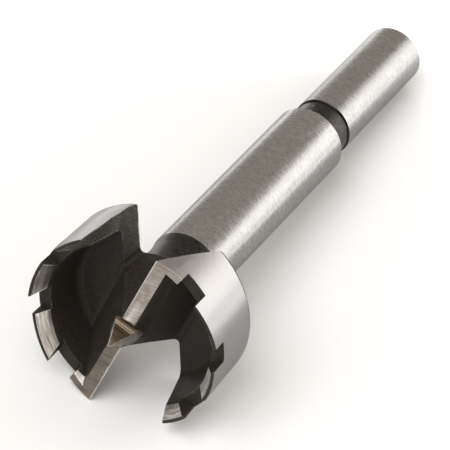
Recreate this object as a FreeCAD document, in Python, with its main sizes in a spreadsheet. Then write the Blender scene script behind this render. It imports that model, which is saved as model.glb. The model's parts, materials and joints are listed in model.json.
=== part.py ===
import FreeCAD, Part
import math
import os

import Sketcher
from FreeCAD import Placement, Rotation, Vector

# Forstner bit for wood, forged in one piece, hardened, then turned and ground.
# The bit is drawn on its own axis: z = 0 is the rear face of the cutting head, +z
# points out of the cutting face, and x runs along the two lips. All in millimetres.

SIZES = {
    # Lengths along the axis
    "total_length": 90.0,  # shank end to the lips
    "head_height": 11.6,  # rear face of the head to the lips
    "web_height": 2.8,  # thickness of the head's rear web
    "tooth_height": 12.25,  # rear face to the tips of the rim teeth
    "notch_height": 9.1,  # rear face to the floors of the rim notches
    "point_height": 15.65,  # rear face to the tip of the centre point
    "shank_length": 25.9,
    "gap_length": 4.5,  # turned groove between neck and shank
    "root_length": 7.7,  # black root between the head and the ground neck
    "taper_length": 1.9,  # part of the root that runs up to the neck
    "end_chamfer": 0.4,
    # Diameters and radial sizes
    "head_dia": 32.0,  # over the lips
    "back_taper": 0.034,  # loss of head radius for each millimetre towards the rear
    "neck_dia": 12.0,
    "shank_dia": 10.0,
    "groove_dia": 9.5,
    "root_dia": 11.3,
    "root_blend": 1.6,
    "rear_blend": 0.7,
    "edge_chamfer": 0.15,  # at the ends of the groove
    "rim_wall": 3.3,  # thickness of the rim at the web
    "bore_draft": 10.0,  # draft of the rim's inner wall, degrees
    "bore_blend": 1.4,
    # Lips: one bar across the head, with a ground band on top
    "band_width": 2.15,
    "flank_relief": 9.5,  # slope of the ground band behind each lip, degrees
    "back_width": 6.5,  # width of the bar where the lips' back bevels end
    "back_drop": 3.9,  # drop from the lips to the ends of the back bevels
    "foot_width": 12.6,  # width of the bar at the web
    "foot_blend": 1.5,
    "rake_slope": 0.51,  # slope of the rake faces, sideways over axial
    # Throats
    "floor_angle": 32.8,  # direction in which the throat's floor faces, degrees
    "floor_reach": 6.69,  # distance of the floor from the axis at the rear face
    "floor_slope": 0.347,
    "tail_angle": 118.0,  # direction in which the throat's tail wall lies
    "tail_reach": 3.15,
    "tail_slope": 0.48,  # through the web
    "tail_slope_rim": 0.19,  # through the rim
    "valley_rear": 2.4,
    "valley_front": 0.5,
    "tail_blend": 0.8,
    # Rim teeth
    "tooth_start": 27.7,  # leading face of the first tooth, degrees behind the lip
    "tooth_pitch": 41.6,
    "notch_one": 14.8,  # angle of each notch, degrees
    "notch_two": 12.9,
    "notch_three": 17.1,
    "tooth_skew": 31.0,  # slant of the leading faces, which puts a point at the rim
    "tooth_relief": 6.5,  # fall of the teeth behind their tips, degrees
    "tooth_land": 0.55,
    "wheel_runout": 0.8,  # how far the bevels' wheel reaches below the notch floors
    "bevel_angle": 54.0,  # slope of the ground bevels inside the teeth
    # Centre point: a round boss, ground to four faces
    "boss_dia": 4.9,
    "boss_bottom": 7.0,
    "point_foot": 10.9,  # height of the foot of the faces that look along the lips
    "point_length": 2.88,  # size of the point at that height, along the lips
    "point_width": 3.88,  # and across them
    "point_tip": 0.1,  # the tip is left as a short edge across the lips
    "point_edge": 0.3,
    "point_skew": 6.3,  # turn of the two faces that look across, degrees
    "foot_angle": 36.0,  # the wheel leaves a rounded trough that rises again outwards
    "foot_round": 0.6,
}

# How far cutting tools run past the steel
CLEAR = 3.0

# How far an added form reaches into the steel below it
SINK = 1.0

# How far a ground face is carried past the place where it leaves the steel
HAIR = 0.05

# Least steel, in cubic millimetres, that a feature adds or takes away
LEAST = 0.01

# Fineness of the points from which the bit's resting place is worked out
FINENESS = 0.02


def make_sheet(doc):
    """Put every size in the sheet: its name in column A, its value in column B."""
    sheet = doc.addObject("Spreadsheet::Sheet", "Sizes")
    for row, (name, value) in enumerate(SIZES.items(), start=1):
        sheet.set(f"A{row}", name)
        sheet.set(f"B{row}", str(value))
        sheet.setAlias(f"B{row}", name)
    doc.recompute()
    return sheet


def cell(name):
    return "Sizes." + name


def plane_of(body, role):
    return next(part for part in body.Origin.OriginFeatures if part.Role == role)


def new_sketch(body, name, role, offset=None):
    sketch = body.newObject("Sketcher::SketchObject", name)
    sketch.AttachmentSupport = [(plane_of(body, role), "")]
    sketch.MapMode = "FlatFace"
    if offset is not None:
        sketch.AttachmentOffset = offset
    return sketch


def pin(sketch, geo, pos, corner):
    """Hold one point of a sketch at the two expressions of its corner."""
    for kind, text in zip(("DistanceX", "DistanceY"), corner):
        value = float(sketch.evalExpression(text))
        row = sketch.addConstraint(Sketcher.Constraint(kind, -1, 1, geo, pos, value))
        sketch.setExpression(f"Constraints[{row}]", text)


def outline(sketch, corners):
    """Draw a closed outline. A corner is (x, y) or, if it is rounded, (x, y, radius);
    each is an expression of the sheet's cells."""
    spots = [Vector(*(float(sketch.evalExpression(t)) for t in corner[:2])) for corner in corners]
    count = len(corners)
    ends = []
    arcs = {}
    for i, corner in enumerate(corners):
        here, before, after = spots[i], spots[i - 1], spots[(i + 1) % count]
        if len(corner) == 2:
            ends.append((here, here))
            continue
        radius = float(sketch.evalExpression(corner[2]))
        back = (before - here).normalize()
        ahead = (after - here).normalize()
        half = back.getAngle(ahead) / 2
        reach = radius / math.tan(half)
        centre = here + (back + ahead).normalize() * (radius / math.sin(half))
        ends.append((here + back * reach, here + ahead * reach))
        arcs[i] = (centre, radius)
    lines = []
    for i in range(count):
        segment = Part.LineSegment(ends[i][1], ends[(i + 1) % count][0])
        lines.append(sketch.addGeometry(segment))
    for i, corner in enumerate(corners):
        before, after = lines[i - 1], lines[i]
        if i not in arcs:
            sketch.addConstraint(Sketcher.Constraint("Coincident", before, 2, after, 1))
            pin(sketch, after, 1, corner[:2])
            continue
        centre, radius = arcs[i]
        start, stop = (ends[i][k] - centre for k in (0, 1))
        turns_left = start.cross(stop).z > 0
        first, last = (start, stop) if turns_left else (stop, start)
        circle = Part.Circle(centre, Vector(0, 0, 1), radius)
        arc = sketch.addGeometry(
            Part.ArcOfCircle(circle, math.atan2(first.y, first.x), math.atan2(last.y, last.x))
        )
        near, far = (1, 2) if turns_left else (2, 1)
        sketch.addConstraint(Sketcher.Constraint("Tangent", before, 2, arc, near))
        sketch.addConstraint(Sketcher.Constraint("Tangent", after, 1, arc, far))
        row = sketch.addConstraint(Sketcher.Constraint("Radius", arc, radius))
        sketch.setExpression(f"Constraints[{row}]", corner[2])
        mark = sketch.addGeometry(Part.Point(spots[i]), True)
        pin(sketch, mark, 1, corner[:2])
        for line in (before, after):
            sketch.addConstraint(Sketcher.Constraint("PointOnObject", mark, 1, line))


def polar(angle, radius):
    """Expressions of the point at an angle, in degrees, and a radius."""
    return f"({radius}) * cos({angle})", f"({radius}) * sin({angle})"


def crossing(line_a, line_b):
    """Expressions of the point where two lines cross. A line is (angle, distance): the
    direction of its normal, in degrees, and how far it lies from the axis."""
    (angle_a, far_a), (angle_b, far_b) = line_a, line_b
    under = f"sin(({angle_b}) - ({angle_a}))"
    x = f"(({far_a}) * sin({angle_b}) - ({far_b}) * sin({angle_a})) / {under}"
    y = f"(({far_b}) * cos({angle_a}) - ({far_a}) * cos({angle_b})) / {under}"
    return x, y


def finish(doc, body, feature, grows):
    """Recompute, and check that the new feature adds or removes steel as it should."""
    before = finish.volume
    doc.recompute()
    after = body.Shape.Volume
    changed = after > before + LEAST if grows else after < before - LEAST
    if not changed:
        raise RuntimeError(f"{feature.Name} leaves the volume at {after:.2f}")
    finish.volume = after


finish.volume = 0.0


def twice(doc, body, feature, grows):
    """Repeat a feature on the far side of the axis."""
    pattern = body.newObject("PartDesign::PolarPattern", feature.Name + "_pair")
    pattern.Originals = [feature]
    pattern.Axis = (next(p for p in body.Origin.OriginFeatures if p.Role == "Z_Axis"), [""])
    pattern.Angle = 360
    pattern.Occurrences = 2
    body.Tip = pattern
    finish(doc, body, pattern, grows)


def pocket(doc, body, sketch, name, length, reverse=False):
    cut = body.newObject("PartDesign::Pocket", name)
    cut.Profile = sketch
    cut.Type = "Length"
    cut.setExpression("Length", length)
    cut.Reversed = reverse
    finish(doc, body, cut, grows=False)
    return cut


def groove(doc, body, sketch, name, angle, reverse=False):
    cut = body.newObject("PartDesign::Groove", name)
    cut.Profile = sketch
    cut.ReferenceAxis = (sketch, ["V_Axis"])
    cut.setExpression("Angle", angle)
    cut.Reversed = reverse
    finish(doc, body, cut, grows=False)
    return cut


def add_bar(doc, body):
    """The bar across the head, whose two halves become the lips. Its section widens
    from the lips to a blended foot on the web."""
    sketch = new_sketch(body, "bar_section", "YZ_Plane")
    lips = cell("head_height")
    bevel_end = f"{lips} - {cell('back_drop')}"
    web = cell("web_height")
    tongue = f"{cell('foot_width')} / 2 + {cell('foot_blend')}"
    bottom = f"{web} - {SINK}"
    half = [
        (f"{cell('band_width')} / 2", lips),
        (f"{cell('back_width')} / 2", bevel_end),
        (f"{cell('foot_width')} / 2", web, cell("foot_blend")),
        (tongue, web),
        (tongue, bottom),
    ]
    mirrored = [(f"-({corner[0]})", *corner[1:]) for corner in reversed(half)]
    outline(sketch, half + mirrored)
    bar = body.newObject("PartDesign::Pad", "bar")
    bar.Profile = sketch
    bar.Midplane = True
    bar.setExpression("Length", f"{cell('head_dia')} + {2 * CLEAR}")
    finish(doc, body, bar, grows=True)


def head_radius(height):
    """Expression of the head's outer radius at a height above its rear face."""
    return f"{cell('head_dia')} / 2 - {cell('back_taper')} * ({cell('head_height')} - ({height}))"


def bevel_backs(doc, body):
    """The back bevel behind each lip's ground band, down to the bar's crease."""
    past_axis = Placement(Vector(0, 0, -SINK), Rotation())
    sketch = new_sketch(body, "back_section", "YZ_Plane", past_axis)
    lips = cell("head_height")
    edge = f"{cell('band_width')} / 2"
    band_back = f"{lips} - tan({cell('flank_relief')}) * {cell('band_width')}"
    crease = f"{cell('back_width')} / 2"
    crease_height = f"{lips} - {cell('back_drop')}"
    steep = f"({crease} - {edge}) / ({band_back} - ({crease_height}))"
    top = f"{lips} + {CLEAR}"
    at_top = f"{edge} - ({steep}) * ({top} - ({band_back}))"
    outline(
        sketch,
        [
            (f"-({crease})", crease_height),
            (f"-({at_top})", top),
            (f"-{cell('foot_width')}", top),
            (f"-{cell('foot_width')}", crease_height),
        ],
    )
    cut = pocket(doc, body, sketch, "back_bevel", f"{cell('head_dia')} + {2 * CLEAR}", reverse=True)
    twice(doc, body, cut, grows=False)


def turn_bar(doc, body):
    """Round the ends of the bar, so that they lie inside the rim."""
    sketch = new_sketch(body, "bar_ends", "XZ_Plane")
    inner = f"{cell('head_dia')} / 2 - {cell('tooth_land')}"
    outer = f"{cell('head_dia')} / 2 + {3 * CLEAR}"
    top = f"{cell('tooth_height')} + {CLEAR}"
    outline(sketch, [(inner, "0"), (outer, "0"), (outer, top), (inner, top)])
    groove(doc, body, sketch, "bar_ends_cut", "360")


def add_blank(doc, body):
    """The turned blank: shank, groove, neck, root, web and rim as one revolved profile."""
    sketch = new_sketch(body, "blank_profile", "XZ_Plane")
    end = f"{cell('head_height')} - {cell('total_length')}"
    shank_front = f"{end} + {cell('shank_length')}"
    neck_rear = f"{shank_front} + {cell('gap_length')}"
    root_rear = f"-{cell('root_length')}"
    root_front = f"{root_rear} + {cell('taper_length')}"
    tip = cell("tooth_height")
    web = cell("web_height")
    bore = f"({cell('head_dia')} / 2 - {cell('rim_wall')})"
    land = f"{cell('head_dia')} / 2 - {cell('tooth_land')}"
    draft = f"tan({cell('bore_draft')})"
    lean = f"(1 / tan({cell('bevel_angle')}))"
    bevel_end = f"({bore} - {web} * {draft} - ({land}) + {tip} * {lean}) / ({lean} - {draft})"
    shank, neck, slot = (f"{cell(name)} / 2" for name in ("shank_dia", "neck_dia", "groove_dia"))
    root = f"{cell('root_dia')} / 2"
    edge = cell("edge_chamfer")
    outline(
        sketch,
        [
            ("0", end),
            (f"{shank} - {cell('end_chamfer')}", end),
            (shank, f"{end} + {cell('end_chamfer')}"),
            (shank, f"{shank_front} - {edge}"),
            (f"{shank} - {edge}", shank_front),
            (slot, shank_front),
            (slot, neck_rear),
            (f"{neck} - {edge}", neck_rear),
            (neck, f"{neck_rear} + {edge}"),
            (neck, root_rear),
            (root, root_front),
            (root, "0", cell("root_blend")),
            (head_radius("0"), "0", cell("rear_blend")),
            (head_radius(tip), tip),
            (land, tip),
            (f"{bore} + (({bevel_end}) - {web}) * {draft}", bevel_end),
            (bore, web, cell("bore_blend")),
            ("0", web),
        ],
    )
    blank = body.newObject("PartDesign::Revolution", "blank")
    blank.Profile = sketch
    blank.ReferenceAxis = (sketch, ["V_Axis"])
    blank.Angle = 360
    finish(doc, body, blank, grows=True)


def throat_section(body, name, height, tail_reach, valley):
    """One level of a throat: rake face, valley, sloping floor, and the tail wall."""
    sketch = new_sketch(body, name, "XY_Plane", Placement(Vector(0, 0, height), Rotation()))
    band = f"{cell('band_width')} / 2"
    rake = ("90", f"{band} - {cell('rake_slope')} * ({cell('head_height')} - ({height}))")
    floor = (cell("floor_angle"), f"{cell('floor_reach')} - {cell('floor_slope')} * ({height})")
    tail = (cell("tail_angle"), tail_reach)
    outer = ("0", f"{cell('head_dia')} / 2 + {3 * CLEAR}")
    outline(
        sketch,
        [
            (*crossing(floor, rake), valley),
            crossing(outer, rake),
            crossing(outer, tail),
            (*crossing(tail, floor), cell("tail_blend")),
        ],
    )
    return sketch


def cut_throats(doc, body, sheet):
    """The two openings that let the chips out past the web. The tail wall leans more
    through the web than it does through the rim above it."""
    at_web = f"{cell('tail_reach')} + {cell('tail_slope')} * {cell('web_height')}"
    levels = {
        "throat_rear": (-CLEAR, f"{cell('tail_reach')} - {cell('tail_slope')} * {CLEAR}", cell("valley_rear")),
        "throat_web": (sheet.web_height, at_web, cell("valley_rear")),
    }
    front = sheet.point_height + CLEAR
    at_front = f"{at_web} + {cell('tail_slope_rim')} * ({front} - {cell('web_height')})"
    levels["throat_front"] = (front, at_front, cell("valley_front"))
    sections = [throat_section(body, name, *level) for name, level in levels.items()]
    throat = body.newObject("PartDesign::SubtractiveLoft", "throat")
    throat.Profile = sections[0]
    throat.Sections = sections[1:]
    throat.Ruled = True
    finish(doc, body, throat, grows=False)
    twice(doc, body, throat, grows=False)


def notch_corners(start, width):
    """A notch's outline from above: a radial wall behind one tooth, and the slanted
    leading face of the next. Angles run clockwise from the lip."""
    rim = f"{cell('head_dia')} / 2"
    first = f"-({start} - {width})"
    second = f"-({start})"
    inside = f"{rim} - {cell('rim_wall')} - {CLEAR}"
    outside = f"{rim} + {CLEAR}"
    slant = f"{second} + {cell('tooth_skew')}"
    tip_x, tip_y = polar(second, rim)
    out_x, out_y = polar(slant, CLEAR)
    in_x, in_y = polar(slant, f"{cell('rim_wall')} + {CLEAR}")
    return [
        polar(first, inside),
        polar(first, outside),
        (f"{tip_x} + {out_x}", f"{tip_y} + {out_y}"),
        (f"{tip_x} - {in_x}", f"{tip_y} - {in_y}"),
    ]


def cut_notches(doc, body, sheet):
    """Three square notches through each half of the rim."""
    top = sheet.tooth_height + CLEAR
    for number, width in enumerate(("notch_one", "notch_two", "notch_three")):
        start = f"{cell('tooth_start')} + {number} * {cell('tooth_pitch')}"
        sketch = new_sketch(body, width + "_outline", "XY_Plane", Placement(Vector(0, 0, top), Rotation()))
        outline(sketch, notch_corners(start, cell(width)))
        cut = pocket(doc, body, sketch, width + "_cut", f"{top} - {cell('notch_height')}")
        twice(doc, body, cut, grows=False)


def relieve_teeth(doc, body, sheet):
    """Grind each tooth: a narrow land that falls away behind the tip, and inside it a
    steep bevel. The wheel turns about an axis tipped back by the relief angle."""
    stand = Placement(Vector(), Rotation(Vector(1, 0, 0), 90))
    tilt = Placement(Vector(), Rotation(Vector(1, 0, 0), sheet.tooth_relief))
    for number in range(3):
        angle = sheet.tooth_start + number * sheet.tooth_pitch
        place = Placement(Vector(0, 0, sheet.tooth_height), Rotation(Vector(0, 0, 1), -angle))
        offset = stand.inverse() * place * tilt * stand
        sketch = new_sketch(body, f"tooth_wheel_{number + 1}", "XZ_Plane", offset)
        inner = f"{cell('head_dia')} / 2 - {cell('tooth_land')}"
        deep = f"{cell('tooth_height')} - {cell('notch_height')} + {cell('wheel_runout')}"
        outline(
            sketch,
            [
                (inner, "0"),
                (f"{cell('head_dia')} / 2 + {CLEAR}", "0"),
                (f"{cell('head_dia')} / 2 + {CLEAR}", f"{CLEAR}"),
                (f"{inner} - ({deep}) / tan({cell('bevel_angle')})", f"{CLEAR}"),
                (f"{inner} - ({deep}) / tan({cell('bevel_angle')})", f"-({deep})"),
            ],
        )
        cut = groove(doc, body, sketch, f"tooth_bevel_{number + 1}", cell("tooth_pitch"), reverse=True)
        twice(doc, body, cut, grows=False)


def grind_flanks(doc, body):
    """Grind the band on top of each lip, and the spur at its end, as one sloping plane."""
    sketch = new_sketch(body, "flank_section", "YZ_Plane")
    edge = f"{cell('band_width')} / 2"
    behind = f"-{cell('head_dia')} / 2 * sin({cell('tooth_start')} - {cell('notch_one')} / 2)"
    ahead = f"{edge} + {2 * CLEAR}"
    top = f"{cell('tooth_height')} + {CLEAR}"

    def level(place):
        return f"{cell('head_height')} - tan({cell('flank_relief')}) * ({edge} - ({place}))"

    outline(sketch, [(behind, level(behind)), (ahead, level(ahead)), (ahead, top), (behind, top)])
    cut = pocket(doc, body, sketch, "flank", f"{cell('head_dia')} / 2 + {CLEAR}", reverse=True)
    twice(doc, body, cut, grows=False)


def add_point(doc, body, sheet):
    """The centre point. Two faces look along the lips, and the wheel that ground them
    left a round trough at their feet; the other two run out on the side of the boss."""
    circle = new_sketch(body, "boss_outline", "XY_Plane", Placement(Vector(0, 0, sheet.boss_bottom), Rotation()))
    ring = circle.addGeometry(Part.Circle(Vector(), Vector(0, 0, 1), sheet.boss_dia / 2))
    circle.addConstraint(Sketcher.Constraint("Coincident", ring, 3, -1, 1))
    row = circle.addConstraint(Sketcher.Constraint("Diameter", ring, sheet.boss_dia))
    circle.setExpression(f"Constraints[{row}]", cell("boss_dia"))
    boss = body.newObject("PartDesign::Pad", "boss")
    boss.Profile = circle
    boss.setExpression("Length", f"{cell('point_height')} - {cell('boss_bottom')}")
    finish(doc, body, boss, grows=True)

    top = cell("point_height")
    foot = cell("point_foot")
    side = f"({cell('boss_dia')} / 2 + {CLEAR})"
    along = new_sketch(body, "long_face", "XZ_Plane")
    run = f"({side} - {cell('point_length')} / 2)"
    tip = f"{cell('point_tip')} / 2"
    outline(
        along,
        [
            (tip, top),
            (f"{cell('point_length')} / 2", foot, cell("foot_round")),
            (side, f"{foot} + {run} * tan({cell('foot_angle')})"),
            (side, top),
        ],
    )
    cut = body.newObject("PartDesign::Pocket", "long_face_cut")
    cut.Profile = along
    cut.Midplane = True
    cut.setExpression("Length", f"2 * {side}")
    finish(doc, body, cut, grows=False)
    twice(doc, body, cut, grows=False)

    skew = Placement(Vector(), Rotation(Vector(0, 1, 0), sheet.point_skew))
    across = new_sketch(body, "cross_face", "YZ_Plane", skew)
    edge = f"{cell('point_edge')} / 2"
    spread = f"(({cell('point_width')} / 2 - {edge}) / ({top} - {foot}))"
    runout = f"{cell('boss_dia')} / 2 / cos({cell('point_skew')}) + {HAIR}"
    low = f"{top} - ({runout} - {edge}) / {spread}"
    outline(across, [(edge, top), (runout, low), (side, low), (side, top)])
    cut = body.newObject("PartDesign::Pocket", "cross_face_cut")
    cut.Profile = across
    cut.Midplane = True
    cut.setExpression("Length", cell("boss_dia"))
    finish(doc, body, cut, grows=False)
    twice(doc, body, cut, grows=False)


def lying_down(body, sheet):
    """The placement of the bit as it lies at rest: one throat faces down, and it stands
    on the two edges of that throat and on the end of the shank."""
    points = body.Shape.tessellate(FINENESS)[0]
    throat = math.radians(sheet.floor_angle)
    down = Vector(math.cos(throat), math.sin(throat), 0)
    side = Vector(0, 0, 1).cross(down)
    head = [p for p in points if p.z > -SINK]
    groups = [
        [p for p in head if p.dot(side) > 0],
        [p for p in head if p.dot(side) < 0],
        [p for p in points if p.z < sheet.head_height - sheet.total_length + sheet.shank_length],
    ]
    for _ in range(6):
        feet = [max(group, key=down.dot) for group in groups]
        normal = (feet[1] - feet[0]).cross(feet[2] - feet[0]).normalize()
        down = normal if normal.dot(down) > 0 else normal * -1
    turn = Rotation(down, Vector(0, 0, -1))
    along = turn.multVec(Vector(0, 0, -1))
    level = Rotation(Vector(0, 0, 1), -math.degrees(math.atan2(along.y, along.x)))
    return Placement(Vector(), level * turn)


def main():
    doc = FreeCAD.newDocument("ForstnerBit")
    sheet = make_sheet(doc)
    body = doc.addObject("PartDesign::Body", "forstner_bit")
    body.Label = "forstner_bit"
    add_bar(doc, body)
    bevel_backs(doc, body)
    turn_bar(doc, body)
    add_blank(doc, body)
    cut_throats(doc, body, sheet)
    cut_notches(doc, body, sheet)
    relieve_teeth(doc, body, sheet)
    grind_flanks(doc, body)
    add_point(doc, body, sheet)
    body.Placement = lying_down(body, sheet)
    doc.recompute()
    box = body.Shape.optimalBoundingBox(False)
    middle = Vector(-(box.XMin + box.XMax) / 2, -(box.YMin + box.YMax) / 2, -box.ZMin)
    body.Placement = Placement(middle, Rotation()) * body.Placement
    doc.recompute()
    for item in doc.Objects:
        if "Invalid" in item.State or "Error" in item.State:
            raise RuntimeError(f"{item.Name} failed: {item.State}")
    shape = body.Shape
    if shape.isNull() or not shape.isValid() or len(shape.Solids) != 1:
        raise RuntimeError("forstner_bit is not one valid solid")
    os.makedirs("parts", exist_ok=True)
    shape.exportStep(f"parts/{body.Label}.step")


main()
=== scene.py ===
import json
import math

import bmesh
import bpy
import numpy as np
from mathutils import Matrix, Vector


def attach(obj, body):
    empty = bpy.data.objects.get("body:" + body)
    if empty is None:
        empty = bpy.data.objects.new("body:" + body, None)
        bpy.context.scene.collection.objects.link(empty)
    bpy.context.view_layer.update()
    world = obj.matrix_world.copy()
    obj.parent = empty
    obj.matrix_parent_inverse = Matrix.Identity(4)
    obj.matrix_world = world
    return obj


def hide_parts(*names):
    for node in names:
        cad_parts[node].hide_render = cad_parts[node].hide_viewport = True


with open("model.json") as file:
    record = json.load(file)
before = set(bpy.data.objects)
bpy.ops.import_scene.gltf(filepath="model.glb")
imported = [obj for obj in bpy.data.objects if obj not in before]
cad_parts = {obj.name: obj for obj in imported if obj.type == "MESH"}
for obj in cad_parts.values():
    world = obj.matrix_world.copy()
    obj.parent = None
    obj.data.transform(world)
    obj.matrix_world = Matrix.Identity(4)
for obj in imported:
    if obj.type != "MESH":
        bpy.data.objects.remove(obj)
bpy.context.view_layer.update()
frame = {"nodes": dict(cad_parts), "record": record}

MM = 0.001

# Sizes of the bit in millimetres. Places along its axis are counted from the rear face
# of the head: positive towards the cutting face, negative towards the shank's end.
HEAD_RADIUS = 16.0
NECK_RADIUS = 6.0
SHANK_RADIUS = 5.0
BOSS_RADIUS = 2.45
TROUGH_OUTSIDE = 3.2
BEVEL_INSIDE = 11.0
NOTCH_FLOOR = 9.1
LIP_HEIGHT = 11.6
POINT_FOOT = 10.9
POINT_SIDE_FOOT = 9.5
ROOT_REAR = -7.7
NECK_REAR = -48.0
SHANK_FRONT = -52.5
SHANK_MIDDLE = -65.325
CHAMFER = 0.16

# Slope in degrees of the lips' ground bands, which fall away behind the edge
FLANK_RELIEF = 9.5

# The camera of the photograph on the bit's own axes, x along the lips, z along the axis
CAMERA_PLACE = (-386.687, 64.54, 391.867)
CAMERA_RIGHT = (-0.380782, 0.789654, -0.481094)
CAMERA_DOWN = (0.626936, 0.602918, 0.493397)
LENS = 294.03


def srgb(code):
    """Linear colour of an sRGB hex code."""
    channels = [int(code[i : i + 2], 16) / 255 for i in (1, 3, 5)]
    linear = [c / 12.92 if c <= 0.04045 else ((c + 0.055) / 1.055) ** 2.4 for c in channels]
    return (*linear, 1.0)


def face_values(mesh):
    """Centres, normals and areas of all faces as arrays."""
    count = len(mesh.polygons)
    centres, normals, areas = np.empty(count * 3), np.empty(count * 3), np.empty(count)
    mesh.polygons.foreach_get("center", centres)
    mesh.polygons.foreach_get("normal", normals)
    mesh.polygons.foreach_get("area", areas)
    return centres.reshape(-1, 3), normals.reshape(-1, 3), areas


def bit_axes(mesh, mount):
    """The bit's own axes as the columns of a 3 x 3 array, and the centre of the head's
    rear face. z runs against the axis of the shank's mount. The direction of the lips is
    read from the two ground bands, the only faces whose slope is the flank relief, and x
    is the end of it that points down."""
    z = -np.array(mount["axis"])
    z /= np.linalg.norm(z)
    origin = np.array(mount["pos_m"]) - z * SHANK_MIDDLE * MM
    _, normals, areas = face_values(mesh)
    rise = normals @ z
    slope = np.degrees(np.arccos(np.clip(rise, -1, 1)))
    band = np.abs(slope - FLANK_RELIEF) < 0.1
    lean = normals[band] - np.outer(rise[band], z)
    lean /= np.linalg.norm(lean, axis=1)[:, None]
    side = np.sign(lean @ lean[0])
    y = (lean * (side * areas[band])[:, None]).sum(0)
    y /= np.linalg.norm(y)
    x = np.cross(y, z)
    if x[2] > 0:
        x, y = -x, -y
    return np.column_stack((x, y, z)), origin


NODE = frame["nodes"]["forstner_bit"]
AXES, ORIGIN = bit_axes(NODE.data, frame["record"]["mounts"][0])


def to_bit(points):
    """Points of the frame in metres, on the bit's own axes in millimetres."""
    return (points - ORIGIN) @ AXES / MM


def to_frame(point):
    """A point on the bit's own axes in millimetres, in the frame in metres."""
    return Vector(AXES @ (np.array(point) * MM) + ORIGIN)


# Materials


def empty_tree(owner):
    """The node tree of a material or of the world, with no nodes."""
    owner.use_nodes = True
    owner.node_tree.nodes.clear()
    return owner.node_tree


def node(tree, kind, sockets=None, stops=(), **settings):
    """Add one shader node and give its outputs. A setting with the name of a socket sets
    that socket, any other sets the node. sockets gives those whose names repeat by their
    numbers: a Mix node has its factor at 0, its two colours at 6 and 7, and its result at
    2. A socket gets a value, or the output that feeds it. stops are the places and
    colours of a colour ramp."""
    made = tree.nodes.new(kind)
    given = dict(sockets or {})
    for name, value in settings.items():
        if name.replace("_", " ") in made.inputs:
            given[name.replace("_", " ")] = value
        else:
            setattr(made, name, value)
    for key, value in given.items():
        if isinstance(value, bpy.types.NodeSocket):
            tree.links.new(value, made.inputs[key])
        else:
            made.inputs[key].default_value = value
    if stops:
        bar = made.color_ramp.elements
        bar.remove(bar[1])
        bar[0].position, bar[0].color = stops[0][0], srgb(stops[0][1])
        for place, code in stops[1:]:
            bar.new(place).color = srgb(code)
    return made.outputs


def new_material(name):
    """A new material, its tree, and the place on the bit's own axes in millimetres."""
    material = bpy.data.materials.new(name)
    tree = empty_tree(material)
    turn = Matrix(AXES.T.tolist())
    place = node(
        tree,
        "ShaderNodeMapping",
        Vector=node(tree, "ShaderNodeTexCoord")["Object"],
        Scale=(1 / MM, 1 / MM, 1 / MM),
        Rotation=turn.to_euler(),
        Location=turn @ Vector((-ORIGIN).tolist()) / MM,
    )[0]
    return material, tree, place


def grain(tree, place, size, turn=(0, 0, 0), detail=2.0, roughness=0.5):
    """Noise whose features have the given size in millimetres along three axes, which may
    be turned. Most of it lies between 0.25 and 0.75. A pixel of the picture is 0.15 mm
    wide on the bit, so scratches and specks that are finer on the real bit are drawn
    0.2 mm wide or more."""
    fitted = node(tree, "ShaderNodeMapping", Vector=place, vector_type="TEXTURE", Scale=size, Rotation=turn)
    noise = node(
        tree, "ShaderNodeTexNoise", Vector=fitted[0], Scale=1.0, Detail=detail, Roughness=roughness
    )
    return noise[0]


def worn_glinting_edges(tree, place, reach, patch, low, high):
    """0 to 1, with 1 along the outward edges, where the steel is thin within the reach in
    millimetres. Lightened by it, an edge shows both bare steel worn through and a painted
    highlight where a rounded edge would catch the light. The line is ragged, and has gaps of
    the size of the patch. More of the edge shows with a lower pair of levels, low and high."""
    thick = node(
        tree, "ShaderNodeAmbientOcclusion", inside=True, only_local=True, samples=8, Distance=reach * MM
    )["AO"]
    near = node(tree, "ShaderNodeMath", {0: thick, 1: -2.0, 2: 1.5}, operation="MULTIPLY_ADD")[0]
    ragged = grain(tree, place, (0.35, 0.35, 0.35), detail=3.0)
    patches = grain(tree, place, (patch, patch, patch))
    gaps = node(
        tree, "ShaderNodeMapRange", Value=patches, From_Min=0.4, From_Max=0.6, To_Min=-0.35, To_Max=0.2
    )[0]
    broken = node(tree, "ShaderNodeMath", {0: ragged, 1: gaps}, operation="ADD")[0]
    level = node(tree, "ShaderNodeMath", {0: near, 1: broken}, operation="ADD")[0]
    return node(tree, "ShaderNodeMapRange", Value=level, From_Min=low, From_Max=high)[0]


def steel_surface(tree, colour, lines, smooth, rough, depth, relief=None, **settings):
    """Close a material's tree with a surface of a colour. Its roughness goes from smooth
    to rough with the lines. These, or a relief of their own, stand up by the depth in
    millimetres."""
    roughness = node(
        tree, "ShaderNodeMapRange", Value=lines, From_Min=0.25, From_Max=0.75, To_Min=smooth, To_Max=rough
    )[0]
    height = lines if relief is None else relief
    bump = node(tree, "ShaderNodeBump", Height=height, Strength=1.0, Distance=depth * MM)[0]
    shader = node(
        tree, "ShaderNodeBsdfPrincipled", Base_Color=colour, Roughness=roughness, Normal=bump, **settings
    )[0]
    node(tree, "ShaderNodeOutputMaterial", Surface=shader)


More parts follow.
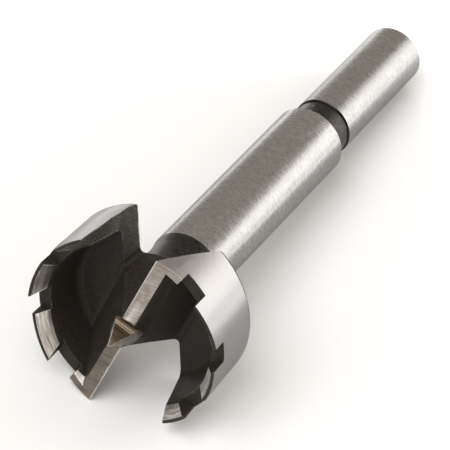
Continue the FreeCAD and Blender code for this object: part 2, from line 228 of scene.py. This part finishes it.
def ground_round_steel(name, scratch, depth, low, high, smooth, rough):
    """Hardened steel, centreless ground. The wheel leaves short scratches round the axis,
    so a lamp's reflection is drawn out along the bit and breaks up at its borders. The
    real scratches are a few hundredths of a millimetre apart, and are drawn coarser."""
    material, tree, place = new_material(name)
    scratches = grain(tree, place, (scratch * 4, scratch * 4, scratch), detail=3.0, roughness=0.65)
    waves = grain(tree, place, (scratch * 4, scratch * 4, scratch * 1.3), detail=1.0)
    cloud = grain(tree, place, (6.0, 6.0, 3.0))
    tone = node(tree, "ShaderNodeValToRGB", stops=((0.3, low), (0.7, high)), Fac=scratches)[0]
    dull = node(
        tree, "ShaderNodeMapRange", Value=cloud, From_Min=0.25, From_Max=0.75, To_Min=0.0, To_Max=0.25
    )[0]
    colour = node(tree, "ShaderNodeMix", {0: dull, 6: tone, 7: srgb(low)}, data_type="RGBA")[2]
    steel_surface(
        tree,
        colour,
        scratches,
        smooth,
        rough,
        depth,
        relief=waves,
        Tangent=node(tree, "ShaderNodeTangent", direction_type="RADIAL", axis="X")[0],
        Metallic=1.0,
        Anisotropic=0.6,
        Anisotropic_Rotation=0.25,
        Specular_Tint=srgb("#d8d8d8"),
    )
    return material


def black_oxide(name, size, depth, low, high, wear_and_glint_colour, smooth, **settings):
    """Hot black oxide: a thin brownish black coat that keeps the skin of the steel below.
    Specks of the size, coarser than the real ones, catch the light, and the outward edges
    are worn to bare steel and lightened further as a painted edge highlight."""
    material, tree, place = new_material(name)
    specks = grain(tree, place, size, detail=3.0, roughness=0.65)
    cloud = grain(tree, place, (5.0, 5.0, 5.0), detail=3.0)
    tone = node(tree, "ShaderNodeValToRGB", stops=((0.35, low), (0.7, high)), Fac=specks)[0]
    rusty = node(
        tree, "ShaderNodeMapRange", Value=cloud, From_Min=0.45, From_Max=0.7, To_Min=0.0, To_Max=0.3
    )[0]
    brown = node(tree, "ShaderNodeMix", {0: rusty, 6: tone, 7: srgb("#2f2721")}, data_type="RGBA")[2]
    # Edges lightened: worn bare steel and a painted edge highlight
    wear_and_glint = worn_glinting_edges(tree, place, reach=0.25, patch=3.0, low=0.45, high=0.9)
    colour = node(tree, "ShaderNodeMix", {0: wear_and_glint, 6: brown, 7: srgb(wear_and_glint_colour)}, data_type="RGBA")[2]
    steel_surface(tree, colour, specks, smooth, smooth + 0.2, depth, **settings)
    return material


def ground_lip():
    """The lips' bands, ground dry and flat: fine scratches across them, a faint brown heat
    tint here and there, and one lip painted darker than the other as painted shade for its
    darker reflection. The real scratches are about 0.05 mm apart, and are drawn 0.24 mm wide."""
    material, tree, place = new_material("ground_lip")
    lines = grain(tree, place, (0.24, 3.5, 3.5), turn=(0, 0, 0.3), detail=3.0, roughness=0.7)
    bright = node(tree, "ShaderNodeValToRGB", stops=((0.3, "#8e8983"), (0.7, "#c9c6c2")), Fac=lines)[0]
    dark = node(tree, "ShaderNodeValToRGB", stops=((0.3, "#564f48"), (0.7, "#969087")), Fac=lines)[0]
    along = node(tree, "ShaderNodeSeparateXYZ", Vector=place)[0]
    share = node(tree, "ShaderNodeMapRange", Value=along, From_Min=-HEAD_RADIUS, From_Max=3.0)[0]
    # Painted shade for one lip's darker reflection: how much darker it is drawn, from one
    # # lip's outer end at 0 to just past the point at 1
    lip_shade_stops = (
        (0.0, "#b4b4b4"),
        (0.2, "#a0a0a0"),
        (0.36, "#5c5c5c"),
        (0.55, "#000000"),
        (0.8, "#000000"),
        (1.0, "#ffffff"),
    )
    lip_painted_shade = node(tree, "ShaderNodeValToRGB", stops=lip_shade_stops, Fac=share)[0]
    tone = node(tree, "ShaderNodeMix", {0: lip_painted_shade, 6: bright, 7: dark}, data_type="RGBA")[2]
    blotch = grain(tree, place, (1.5, 1.5, 1.5))
    heat = node(
        tree, "ShaderNodeMapRange", Value=blotch, From_Min=0.5, From_Max=0.7, To_Min=0.0, To_Max=0.6
    )[0]
    tint = node(tree, "ShaderNodeMix", {0: heat, 6: tone, 7: srgb("#8f7f6f")}, data_type="RGBA")[2]
    # Edges lightened: worn bare steel and a painted edge highlight
    wear_and_glint = worn_glinting_edges(tree, place, reach=0.22, patch=4.0, low=0.4, high=1.0)
    colour = node(tree, "ShaderNodeMix", {0: wear_and_glint, 6: tint, 7: srgb("#c9c5be")}, data_type="RGBA")[2]
    steel_surface(tree, colour, lines, smooth=0.46, rough=0.62, depth=0.012, Metallic=1.0)
    return material


def ground_tooth():
    """The bevels inside the rim's teeth: coarse scratches round the axis, bright edges that
    are partly chipped steel and partly a painted highlight, and painted shade that draws the
    bevels on one side of the head duller. The scratches run round the bit, so their pattern
    is laid over the distance from the axis."""
    material, tree, place = new_material("ground_tooth_bevel")
    flat = node(tree, "ShaderNodeVectorMath", {0: place, 1: (1, 1, 0)}, operation="MULTIPLY")[0]
    radius = node(tree, "ShaderNodeVectorMath", {0: flat}, operation="LENGTH")["Value"]
    parts = node(tree, "ShaderNodeSeparateXYZ", Vector=place)
    ring = node(tree, "ShaderNodeCombineXYZ", X=radius, Y=parts[0], Z=parts[1])[0]
    lines = grain(tree, ring, (0.24, 4.0, 4.0), detail=3.0, roughness=0.7)
    bright = node(tree, "ShaderNodeValToRGB", stops=((0.34, "#96918b"), (0.66, "#f4f1ed")), Fac=lines)[0]
    dull = node(tree, "ShaderNodeValToRGB", stops=((0.34, "#57524d"), (0.66, "#98938d")), Fac=lines)[0]
    # Painted shade: the bevels on one side of the head take the duller copy of the colours
    across = node(tree, "ShaderNodeMath", {0: parts[1], 1: 0.4, 2: parts[0]}, operation="MULTIPLY_ADD")[0]
    side = node(tree, "ShaderNodeMapRange", Value=across, From_Min=-3.0, From_Max=3.0)[0]
    tone = node(tree, "ShaderNodeMix", {0: side, 6: dull, 7: bright}, data_type="RGBA")[2]
    # Edges lightened: worn bare steel and a painted edge highlight
    wear_and_glint = worn_glinting_edges(tree, place, reach=0.25, patch=3.0, low=0.3, high=0.7)
    colour = node(tree, "ShaderNodeMix", {0: wear_and_glint, 6: tone, 7: srgb("#f4f2ee")}, data_type="RGBA")[2]
    steel_surface(tree, colour, lines, smooth=0.36, rough=0.5, depth=0.02, Metallic=1.0)
    return material


# Colours of the point from its ridge outwards, each with its distance from the ridge in
# millimetres: the face, its foot line, and the wheel's stripes in the trough beside it
POINT_COLOURS = (
    (0.0, "#988f85"),
    (0.55, "#7f7569"),
    (0.98, "#65584a"),
    (1.1, "#54432f"),
    (1.15, "#e0d5be"),
    (1.19, "#5c4d39"),
    (1.24, "#d2c6b0"),
    (1.3, "#54473a"),
    (1.38, "#7f7361"),
    (1.47, "#453a2e"),
    (1.58, "#867a69"),
    (1.7, "#4a3f33"),
    (1.84, "#8a7f70"),
    (2.0, "#55493d"),
    (2.35, "#a0978b"),
)
POINT_REACH = 2.8


def ground_point():
    """The two faces of the point that look along the lips, and the troughs at their feet:
    bronze from the heat of the wheel, ridged across, brightest where face meets trough."""
    material, tree, place = new_material("ground_point_face")
    parts = node(tree, "ShaderNodeSeparateXYZ", Vector=place)
    out = node(tree, "ShaderNodeMath", {0: parts[0]}, operation="ABSOLUTE")[0]
    share = node(tree, "ShaderNodeMath", {0: out, 1: 1 / POINT_REACH}, operation="MULTIPLY")[0]
    stops = [(distance / POINT_REACH, code) for distance, code in POINT_COLOURS]
    tone = node(tree, "ShaderNodeValToRGB", stops=stops, Fac=share)[0]
    ridges = grain(tree, place, (0.2, 8.0, 8.0), roughness=0.7)
    shade = node(tree, "ShaderNodeValToRGB", stops=((0.38, "#8a8178"), (0.62, "#ffffff")), Fac=ridges)[0]
    ridged = node(
        tree, "ShaderNodeMix", {0: 0.8, 6: tone, 7: shade}, data_type="RGBA", blend_type="MULTIPLY"
    )[2]
    # Painted highlight: the edges on one side of the point are drawn brighter, where the
    # # light catches them, over their worn bare steel
    painted_highlight_side = node(
        tree, "ShaderNodeMapRange", Value=parts[1], From_Min=-0.4, From_Max=0.4, To_Min=1.0, To_Max=0.25
    )[0]
    edge = worn_glinting_edges(tree, place, reach=0.15, patch=4.0, low=0.4, high=0.8)
    wear_and_glint = node(tree, "ShaderNodeMath", {0: edge, 1: painted_highlight_side}, operation="MULTIPLY")[0]
    colour = node(tree, "ShaderNodeMix", {0: wear_and_glint, 6: ridged, 7: srgb("#f4efe6")}, data_type="RGBA")[2]
    steel_surface(tree, colour, ridges, smooth=0.32, rough=0.45, depth=0.012, Metallic=1.0)
    return material


def ground_point_side():
    """The two faces of the point that look across, duller and finer ground."""
    material, tree, place = new_material("ground_point_side")
    lines = grain(tree, place, (2.0, 2.0, 0.2), turn=(0.5, 0, 0), detail=3.0)
    tone = node(tree, "ShaderNodeValToRGB", stops=((0.3, "#8a837c"), (0.7, "#aea8a1")), Fac=lines)[0]
    # Edges lightened: worn bare steel and a painted edge highlight
    wear_and_glint = worn_glinting_edges(tree, place, reach=0.2, patch=4.0, low=0.7, high=1.2)
    colour = node(tree, "ShaderNodeMix", {0: wear_and_glint, 6: tone, 7: srgb("#d8d4ce")}, data_type="RGBA")[2]
    steel_surface(tree, colour, lines, smooth=0.36, rough=0.5, depth=0.012, Metallic=1.0)
    return material


# Finishes in the order of the mesh's material slots. The turned one is metallic, because
# its coat is so thin that the turned steel below still mirrors.
FINISHES = {
    "oxide": black_oxide(
        name="black_oxide_forging",
        size=(0.26, 0.26, 0.26),
        depth=0.022,
        low="#1f1c19",
        high="#38342f",
        wear_and_glint_colour="#5b5650",
        smooth=0.4,
        Specular_IOR_Level=0.15,
    ),
    "turned": black_oxide(
        name="black_oxide_turned",
        size=(0.8, 0.8, 0.2),
        depth=0.02,
        low="#232120",
        high="#494745",
        wear_and_glint_colour="#75716c",
        smooth=0.27,
        Metallic=1.0,
    ),
    "forged": black_oxide(
        name="black_oxide_rough_forging",
        size=(0.24, 0.24, 0.24),
        depth=0.09,
        low="#1b1916",
        high="#5b5853",
        wear_and_glint_colour="#c8c4bf",
        smooth=0.36,
        Specular_IOR_Level=0.4,
    ),
    "round": ground_round_steel(
        name="ground_shank_steel",
        scratch=0.22,
        depth=0.009,
        low="#82807e",
        high="#a3a2a0",
        smooth=0.2,
        rough=0.34,
    ),
    "rim": ground_round_steel(
        name="ground_rim_steel",
        scratch=0.2,
        depth=0.0008,
        low="#8f8d8c",
        high="#969493",
        smooth=0.27,
        rough=0.31,
    ),
    "lip": ground_lip(),
    "tooth": ground_tooth(),
    "point": ground_point(),
    "point_side": ground_point_side(),
}


# The bit

# Corners nearer than this in millimetres are joined. Two faces that turn less than the
# first angle in degrees become one, and an edge that turns more than the second is sharp.
JOIN_DISTANCE = 0.002
FLAT_TURN = 0.2
SHARP_TURN = 24

# How far in millimetres the centre of a face may lie from the round, the end or the foot
# that its finish is sorted by
HEAD_MARGIN = 0.05
BOSS_MARGIN = 0.05
ROUND_MARGIN = 0.3
FOOT_MARGIN = 0.3
RIM_MARGIN = 0.8
TOOTH_MARGIN = 0.9
LIP_MARGIN = 2.0

# Farther than this in millimetres behind the front of the shank there is only its ground
# side and its rear end
SHANK_END = 20.0

# The tail walls of the throats are larger than this in square millimetres, and the other
# faces of the head that look back against the turn of the bit are smaller
TAIL_WALL_AREA = 5.0


def solid_copy(source):
    """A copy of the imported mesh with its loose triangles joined, and triangles that lie
    in one plane made one face."""
    work = bmesh.new()
    work.from_mesh(source.data)
    bmesh.ops.remove_doubles(work, verts=work.verts, dist=JOIN_DISTANCE * MM)
    bmesh.ops.dissolve_limit(
        work, angle_limit=math.radians(FLAT_TURN), verts=work.verts, edges=work.edges
    )
    mesh = bpy.data.meshes.new("forstner_bit_steel")
    work.to_mesh(mesh)
    work.free()
    return mesh


def sort_faces(mesh):
    """Index of the finish of each face. It is found from the face's centre on the bit's
    axes and from the cosines between its normal and those axes. outward is the cosine
    between the normal and the line from the axis. The last finish that fits a face wins."""
    centres, normals, areas = face_values(mesh)
    x, y, height = to_bit(centres).T
    slope_x, slope_y, slope_z = (normals @ AXES).T
    radius = np.hypot(x, y)
    outward = (slope_x * x + slope_y * y) / np.maximum(radius, 1e-6)
    steep = np.degrees(np.arccos(np.clip(slope_z, -1, 1)))
    names = list(FINISHES)
    kind = np.full(len(height), names.index("oxide"))

    def put(name, mask):
        kind[mask] = names.index(name)

    # The root and the groove, and for now all that lies behind the head
    put("turned", height < -HEAD_MARGIN)

    # The tail walls of the throats, and the side of the rim
    in_head = height > 0
    looks_back = (slope_y * np.sign(x) < -0.75) & (np.abs(slope_x) > 0.35) & (slope_z > 0.1)
    put("forged", in_head & looks_back & (areas > TAIL_WALL_AREA * MM**2))
    upright = (outward > 0.95) & (np.abs(slope_z) < 0.1)
    put("rim", in_head & upright & (radius > HEAD_RADIUS - RIM_MARGIN))

    # The neck and the shank
    on_neck = (height < ROOT_REAR) & (height > NECK_REAR - CHAMFER) & (radius > NECK_RADIUS - ROUND_MARGIN)
    put("round", on_neck & (outward > 0.6))
    on_shank = (height < SHANK_FRONT) & (radius > SHANK_RADIUS - ROUND_MARGIN)
    put("round", on_shank & (outward > 0.9))
    put("round", height < SHANK_FRONT - SHANK_END)

    # The bands of the lips, and the bevels inside the teeth
    put("lip", (np.abs(steep - FLANK_RELIEF) < 0.3) & (height > LIP_HEIGHT - LIP_MARGIN))
    inward = (outward < -0.3) & (slope_z > 0.35)
    put("tooth", inward & (height > NOTCH_FLOOR - TOOTH_MARGIN) & (radius > BEVEL_INSIDE))

    # The faces of the point that look across, and those that look along the lips
    raised = slope_z > 0.05
    on_boss = (radius < BOSS_RADIUS + BOSS_MARGIN) & (height > POINT_SIDE_FOOT - FOOT_MARGIN) & (steep > 12)
    put("point_side", on_boss & raised & (np.abs(slope_x) <= np.abs(slope_y)))
    on_point = (radius < TROUGH_OUTSIDE) & (height > POINT_FOOT - FOOT_MARGIN)
    put("point", on_point & raised & (np.abs(slope_y) < 0.015))
    return kind.astype(np.int32)


def build_bit():
    """The dressed bit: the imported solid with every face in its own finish."""
    mesh = solid_copy(NODE)
    for material in FINISHES.values():
        mesh.materials.append(material)
    mesh.polygons.foreach_set("material_index", sort_faces(mesh))
    mesh.shade_smooth()
    mesh.set_sharp_from_angle(angle=math.radians(SHARP_TURN))
    piece = bpy.data.objects.new("forstner_bit_steel", mesh)
    bpy.context.scene.collection.objects.link(piece)
    return piece


# Studio

FLOOR_HALF = 3.0


def add_camera():
    """The photograph's camera; its axes are given on the bit's own axes."""
    right, down = AXES @ np.array(CAMERA_RIGHT), AXES @ np.array(CAMERA_DOWN)
    back = np.cross(right, -down)
    turn = Matrix(np.column_stack((right, -down, back)).tolist()).to_4x4()
    data = bpy.data.cameras.new("photo_camera")
    data.lens = LENS
    data.sensor_width = 36
    data.clip_start = 0.01
    camera = bpy.data.objects.new("photo_camera", data)
    camera.matrix_world = Matrix.Translation(to_frame(CAMERA_PLACE)) @ turn
    bpy.context.scene.collection.objects.link(camera)
    bpy.context.scene.camera = camera


def add_lamp(name, azimuth, place, size, radiance, dip=None):
    """A rectangular lamp at a distance along the floor and a height. It looks at the bit,
    or with a dip in degrees it looks away from the bit and down, at the floor. Its power
    in watts is its radiance times its area times pi."""
    turn = math.radians(azimuth)
    distance, height = place
    data = bpy.data.lights.new(name, "AREA")
    data.shape = "RECTANGLE"
    data.size, data.size_y = size
    data.energy = radiance * size[0] * size[1] * math.pi
    lamp = bpy.data.objects.new(name, data)
    lamp.location = (math.cos(turn) * distance, math.sin(turn) * distance, height)
    behind = lamp.location
    if dip is not None:
        fall = math.radians(dip)
        behind = Vector((-math.cos(turn) * math.cos(fall), -math.sin(turn) * math.cos(fall), math.sin(fall)))
    lamp.rotation_euler = behind.to_track_quat("Z", "Y").to_euler()
    lamp.visible_camera = False
    bpy.context.scene.collection.objects.link(lamp)


def add_floor():
    """A square floor of white paper."""
    half = FLOOR_HALF
    corners = [(-half, -half, 0), (half, -half, 0), (half, half, 0), (-half, half, 0)]
    mesh = bpy.data.meshes.new("paper_floor")
    mesh.from_pydata(corners, [], [(0, 1, 2, 3)])
    material = bpy.data.materials.new("white_paper")
    tree = empty_tree(material)
    paper = node(tree, "ShaderNodeBsdfDiffuse", Color=srgb("#f4f6f8"))[0]
    node(tree, "ShaderNodeOutputMaterial", Surface=paper)
    mesh.materials.append(material)
    floor = bpy.data.objects.new("paper_floor", mesh)
    bpy.context.scene.collection.objects.link(floor)


def light_world(strength):
    """An even, slightly warm room."""
    world = bpy.data.worlds.new("studio_room")
    bpy.context.scene.world = world
    tree = empty_tree(world)
    room = node(tree, "ShaderNodeBackground", Color=srgb("#fff6ec"), Strength=strength)[0]
    node(tree, "ShaderNodeOutputWorld", Surface=room)


for leftover in ("Cube", "Light", "Camera"):
    if leftover in bpy.data.objects:
        bpy.data.objects.remove(bpy.data.objects[leftover])

bpy.context.scene.view_settings.view_transform = "Standard"
bit = build_bit()
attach(bit, "root")
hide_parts("forstner_bit")
add_camera()
add_floor()
light_world(strength=0.7)
add_lamp("side_softbox", azimuth=-38, place=(0.5, 0.122), size=(0.52, 0.244), radiance=3.0)
add_lamp("side_floor_wash", azimuth=-38, place=(0.095, 0.065), size=(0.5, 0.09), radiance=5.6, dip=42)
add_lamp("back_floor_wash", azimuth=43, place=(0.08, 0.05), size=(0.5, 0.05), radiance=7.0, dip=42)
add_lamp("key_softbox", azimuth=165, place=(0.58, 0.93), size=(0.8, 0.8), radiance=3.5)
